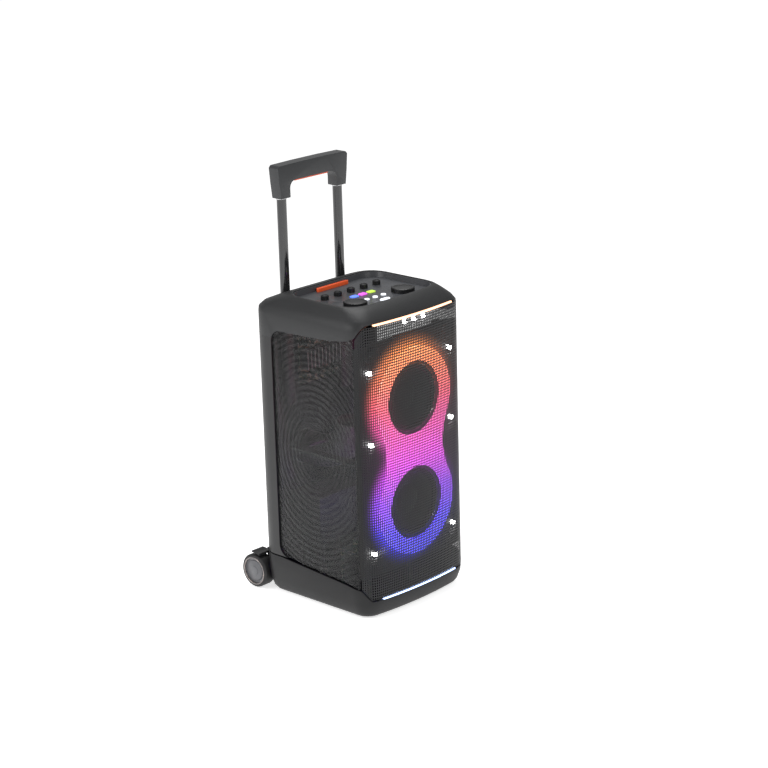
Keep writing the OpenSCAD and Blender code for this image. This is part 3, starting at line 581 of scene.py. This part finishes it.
class SPEAKER_OT_grille(bpy.types.Operator):
    """Perforated steel sheet that wraps round both front corners"""
    bl_idname = "speaker.grille"
    bl_label = "Grille"

    def execute(self, context):
        sizes = context.scene.speaker_sizes
        bpy.ops.object.select_all(action="DESELECT")
        bpy.ops.mesh.primitive_grid_add(
            x_subdivisions=sizes.hole_columns, y_subdivisions=sizes.hole_rows, size=2)
        obj = context.active_object
        place = walk(front_path(SHEET_INSET))
        for v in obj.data.vertices:
            p = place((v.co.x + 1) / 2)
            low = height_at(BASE_EDGE, p.y) + GAP_BELOW
            high = height_at(SHELL_EDGE, p.y) - GAP_ABOVE
            v.co = (p.x, p.y, low + (high - low) * (v.co.y + 1) / 2)
        alone(obj)
        bpy.ops.object.mode_set(mode="EDIT")
        bpy.ops.mesh.select_all(action="SELECT")
        bpy.ops.mesh.normals_make_consistent(inside=False)
        bpy.context.tool_settings.mesh_select_mode = (False, False, True)
        bpy.ops.mesh.select_all(action="SELECT")
        bpy.ops.mesh.inset(thickness=sizes.web, use_individual=True, use_boundary=True)
        bpy.ops.mesh.delete(type="FACE")
        bpy.ops.object.mode_set(mode="OBJECT")
        apply_modifier(obj, "SOLIDIFY", thickness=sizes.sheet, offset=0.0)
        outward(obj)
        settle(obj, "perforated_grille", "cabinet", FINISHES["grille"],
               ("front_grille",), 30)
        return {"FINISHED"}


class SPEAKER_OT_lights(bpy.types.Operator):
    """Light ring, both glowing strips, the star lamps and the board behind them"""
    bl_idname = "speaker.lights"
    bl_label = "Lights"

    def execute(self, context):
        for node, key in (("light_ring", "ring"), ("top_light_strip", "warm"),
                          ("bottom_light_strip", "cool"), ("strobe_lights", "white"),
                          ("front_baffle", "board")):
            coat_node(node, key)
        return {"FINISHED"}


class SPEAKER_OT_cabinet(bpy.types.Operator):
    """Base, top shell, rear housing, side panels, feet and the tray with its rest"""
    bl_idname = "speaker.cabinet"
    bl_label = "Cabinet"

    def execute(self, context):
        f, edge = FINISHES, context.scene.speaker_sizes.edge
        moulded("base_plinth", "plinth", "cabinet", f["black"], edge * 0.6, 50)
        moulded("top_shell", "shell", "cabinet", f["shell"], edge * 0.6, 50)
        moulded("rear_housing", "rear_frame", "cabinet", f["rear"], 0, 50)
        for side in ("left", "right"):
            moulded(f"side_panel_{side}", f"{side}_smoked_panel", "cabinet",
                    f["smoke"], 0.0008)
        moulded("control_panel", "tray", "cabinet", f["tray"], 0.0003)
        moulded("device_rest", "phone_rest", "cabinet", f["accent"], 0.0008)
        moulded("rubber_feet", "feet", "cabinet", f["feet"], 0.0005)
        moulded("axle_carrier", "axle_bracket", "cabinet", f["black"], 0.001)
        return {"FINISHED"}


class SPEAKER_OT_woofers(bpy.types.Operator):
    """Both woofers and both tweeters"""
    bl_idname = "speaker.woofers"
    bl_label = "Drivers"

    def execute(self, context):
        f = FINISHES
        for where in ("upper", "lower"):
            moulded(f"{where}_woofer_basket", f"{where}_basket", "cabinet",
                    f["basket"], 0.0004)
            moulded(f"{where}_woofer_magnet", f"{where}_magnet", "cabinet",
                    f["magnet"], 0.0006)
            moulded(f"{where}_woofer_surround", f"{where}_roll", "cabinet",
                    f["surround"], 0, 60)
            moulded(f"{where}_woofer_cone", f"{where}_paper_cone", f"{where}_cone",
                    f["cone"], 0, 40)
        for side in ("left", "right"):
            moulded(f"{side}_tweeter", f"{side}_dome", "cabinet",
                    f["tweeter"], 0.0003, 40)
        return {"FINISHED"}


class SPEAKER_OT_inside(bpy.types.Operator):
    """What shows through the smoked sides: tube, boxes, boards, brace and guides"""
    bl_idname = "speaker.inside"
    bl_label = "Inside"

    def execute(self, context):
        f = FINISHES
        moulded("reflex_port", "dimpled_port", "cabinet", f["port"], 0, 50)
        moulded("cabinet_brace", "brace", "cabinet", f["inner"], 0.0006)
        moulded("handle_guides", "guides", "cabinet", f["box"], 0.0004)
        moulded("battery_pack", "battery", "cabinet", f["box"], 0.001)
        coat_node("amplifier_board", "circuit")
        coat_node("power_supply", "circuit")
        coat_node("heat_sink", "sink")
        coat_node("wheel_axle", "steel")
        return {"FINISHED"}


class SPEAKER_OT_rear(bpy.types.Operator):
    """Battery door, socket panel, sockets, inlet and screws"""
    bl_idname = "speaker.rear"
    bl_label = "Rear"

    def execute(self, context):
        f = FINISHES
        moulded("battery_door", "door", "battery_door", f["black"], 0.0004)
        moulded("io_panel", "socket_panel", "cabinet", f["tray"], 0.0003)
        coat_node("io_jacks", "jack")
        coat_node("ac_inlet", "black")
        coat_node("rear_screws", "screw")
        return {"FINISHED"}


class SPEAKER_OT_handle(bpy.types.Operator):
    """Rods, rings, grip and squeeze bar"""
    bl_idname = "speaker.handle"
    bl_label = "Handle"

    def execute(self, context):
        f = FINISHES
        moulded("handle_rods", "rods", "handle", f["rod"], 0, 50)
        moulded("handle_collars", "rings", "handle", f["collar"], 0.0002)
        moulded("handle_grip", "grip", "handle", f["grip"], 0.0018,
                segments=3)
        moulded("handle_release_bar", "squeeze_bar", "release_bar",
                f["accent"], 0.001)
        return {"FINISHED"}


HUB_RING = 0.0034         # width of the bright ring round a hub
HUB_DISH = 0.012          # where the ring begins, from the hub's middle outwards


class SPEAKER_OT_wheels(bpy.types.Operator):
    """Tyres and hubs"""
    bl_idname = "speaker.wheels"
    bl_label = "Wheels"

    def execute(self, context):
        f = FINISHES
        for side in ("left", "right"):
            body = f"{side}_wheel"
            moulded(f"{side}_tyre", f"{side}_rubber_tyre", body, f["tyre"],
                    0.0008)
            hub = moulded(f"{side}_hub", f"{side}_hub_disc", body, f["hub"],
                          0.0005)
            low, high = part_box(f"{side}_hub")
            centre = (low + high) / 2
            rim = (high.z - low.z) / 2
            hub.data.materials.append(f["hub_ring"])
            for face in hub.data.polygons:
                away = math.hypot(face.center.y - centre.y, face.center.z - centre.z)
                if away > rim - HUB_RING and abs(face.center.x) > abs(centre.x) + HUB_DISH:
                    face.material_index = 1
        return {"FINISHED"}


STEM_SHOWN = 0.0034       # from the tray's underside up to the foot of a knob
RIM_RISE = 0.0012         # how far the rim of a knob's top stands up


def knurled(name, node, body, grooves, drop):
    """A turned knob with a grooved edge and a raised rim."""
    low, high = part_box(node)
    radius = (high.x - low.x) / 2
    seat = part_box("control_panel")[0].z + STEM_SHOWN
    centre = Vector(((low.x + high.x) / 2, (low.y + high.y) / 2, (seat + high.z) / 2))
    bpy.ops.object.select_all(action="DESELECT")
    bpy.ops.mesh.primitive_cylinder_add(
        vertices=grooves * 2, radius=radius - drop, depth=high.z - seat, location=centre)
    obj = bpy.context.active_object
    alone(obj)
    bpy.ops.object.transform_apply(location=True, rotation=True, scale=True)
    bpy.ops.object.mode_set(mode="EDIT")

    def on_rib(c, n):
        if abs(n.z) > 0.5:
            return False
        turn = math.atan2(c.y - centre.y, c.x - centre.x) / (2 * math.pi) * grooves * 2
        return math.floor(turn) % 2 == 0

    pick_faces(obj, on_rib)
    bpy.ops.mesh.extrude_faces_move(TRANSFORM_OT_shrink_fatten={"value": drop})
    pick_faces(obj, lambda c, n: n.z > 0.9)
    for share, rise in ((0.12, RIM_RISE), (0.14, -RIM_RISE)):
        bpy.ops.mesh.inset(thickness=radius * share)
        bpy.ops.transform.translate(value=(0, 0, rise))
    bpy.ops.object.mode_set(mode="OBJECT")
    settle(obj, name, body, FINISHES["knob"], (node,), 30)


class SPEAKER_OT_controls(bpy.types.Operator):
    """Dials, knobs, lit pads and buttons"""
    bl_idname = "speaker.controls"
    bl_label = "Controls"

    def execute(self, context):
        sizes = context.scene.speaker_sizes
        for side in ("left", "right"):
            knurled(f"{side}_knurled_dial", f"{side}_dial", f"{side}_dial", sizes.knurls,
                    0.0007)
        for i in range(1, 6):
            knurled(f"small_knob_{i}", f"knob_{i}", f"knob_{i}", 20, 0.0005)
        lit = [("pad_1", "pad_blue", "blue"), ("pad_2", "pad_magenta", "magenta"),
               ("pad_3", "pad_lime", "lime")]
        lit += [(node, "button_white", "button")
                for node in ("button_1", "button_2", "button_3", "power_button")]
        for node, slot, key in lit:
            moulded(node, f"lit_{node}", node, FINISHES[key], 0.0005)
        return {"FINISHED"}


# ---- stage ----------------------------------------------------------------------------


CAMERA_PLACE = (-3.3555, -3.2872, 1.8947)
CAMERA_AHEAD = (0.6924, 0.6590, -0.2939)
CAMERA_UP = (0.2314, 0.1806, 0.9558)
CAMERA_LENS = 108.4
FLOOR_SIZE = 60
FLOOR_DROP = 0.0006       # keeps the paper clear of the undersides of the feet


def soft_light(name, place, aim, size, watts):
    """White softbox at a place, turned towards another."""
    data = bpy.data.lights.new(name, "AREA")
    data.shape, data.size, data.size_y = "RECTANGLE", size[0], size[1]
    data.energy = watts
    obj = bpy.data.objects.new(name, data)
    bpy.context.scene.collection.objects.link(obj)
    obj.location = place
    obj.rotation_euler = (Vector(aim) - Vector(place)).to_track_quat("-Z", "Y").to_euler()


class SPEAKER_OT_stage(bpy.types.Operator):
    """White studio: floor, world, soft lights and the camera"""
    bl_idname = "speaker.stage"
    bl_label = "Studio"

    def execute(self, context):
        scene = context.scene
        bpy.ops.object.select_all(action="DESELECT")
        bpy.ops.mesh.primitive_plane_add(size=FLOOR_SIZE, location=(0, 0, -FLOOR_DROP))
        floor = context.active_object
        floor.name = "studio_floor"
        paper, _, shader = plain_material("Studio paper")
        shader.inputs["Base Color"].default_value = (0.9, 0.9, 0.9, 1)
        shader.inputs["Roughness"].default_value = 0.9
        shader.inputs["Specular IOR Level"].default_value = 0.0
        shader.inputs["Emission Color"].default_value = (1, 1, 1, 1)
        shader.inputs["Emission Strength"].default_value = 0.66
        floor.data.materials.append(paper)

        world = bpy.data.worlds.new("Studio white")
        world.use_nodes = True
        tree = world.node_tree
        back = tree.nodes["Background"]
        # Brighter where it is seen than where it lights
        path = tree.nodes.new("ShaderNodeLightPath")
        strength = maths(tree, "MULTIPLY_ADD", path.outputs["Is Camera Ray"], 0.62, 0.42)
        back.inputs["Color"].default_value = (1, 1, 1, 1)
        link(tree, strength, back.inputs["Strength"])
        scene.world = world

        soft_light("Left softbox", (-2.2, 0.6, 1.5), (0, 0, 0.4), (1.6, 1.2), 26)
        soft_light("Front softbox", (-0.7, -2.6, 2.1), (0, 0, 0.45), (1.4, 1.4), 26)
        soft_light("Top softbox", (0.4, 0.4, 2.6), (0, 0, 0.6), (1.2, 1.2), 30)

        data = bpy.data.cameras.new("Camera")
        camera = bpy.data.objects.new("Camera", data)
        scene.collection.objects.link(camera)
        data.sensor_width, data.lens = 36.0, CAMERA_LENS
        data.clip_end = 100
        ahead = Vector(CAMERA_AHEAD).normalized()
        right = ahead.cross(Vector(CAMERA_UP)).normalized()
        up = right.cross(ahead)
        turn = Matrix((right, up, -ahead)).transposed()
        camera.matrix_world = Matrix.Translation(CAMERA_PLACE) @ turn.to_4x4()
        scene.camera = camera
        scene.view_settings.view_transform = "Standard"
        return {"FINISHED"}


class SPEAKER_PT_panel(bpy.types.Panel):
    bl_idname = "SPEAKER_PT_panel"
    bl_label = "Party speaker"
    bl_space_type = "VIEW_3D"
    bl_region_type = "UI"
    bl_category = "Speaker"

    def draw(self, context):
        layout = self.layout
        for group in (context.scene.speaker_sizes, context.scene.speaker_colours):
            for name in group.bl_rna.properties.keys():
                if name not in ("rna_type", "name"):
                    layout.prop(group, name)
        for step in STEPS:
            layout.operator(step.bl_idname)


STEPS = (SPEAKER_OT_stage, SPEAKER_OT_cabinet, SPEAKER_OT_grille, SPEAKER_OT_lights,
         SPEAKER_OT_woofers, SPEAKER_OT_inside, SPEAKER_OT_rear, SPEAKER_OT_handle,
         SPEAKER_OT_wheels, SPEAKER_OT_controls)
CLASSES = (SpeakerSizes, SpeakerColours, *STEPS, SPEAKER_PT_panel)


def register():
    for item in CLASSES:
        bpy.utils.register_class(item)
    bpy.types.Scene.speaker_sizes = PointerProperty(type=SpeakerSizes)
    bpy.types.Scene.speaker_colours = PointerProperty(type=SpeakerColours)


def unregister():
    del bpy.types.Scene.speaker_colours
    del bpy.types.Scene.speaker_sizes
    for item in reversed(CLASSES):
        bpy.utils.unregister_class(item)


def main():
    register()
    mix_finishes(bpy.context.scene.speaker_colours)
    bpy.ops.speaker.stage()
    bpy.ops.speaker.cabinet()
    bpy.ops.speaker.grille()
    bpy.ops.speaker.lights()
    bpy.ops.speaker.woofers()
    bpy.ops.speaker.inside()
    bpy.ops.speaker.rear()
    bpy.ops.speaker.handle()
    bpy.ops.speaker.wheels()
    bpy.ops.speaker.controls()


if __name__ == "__main__":
    main()
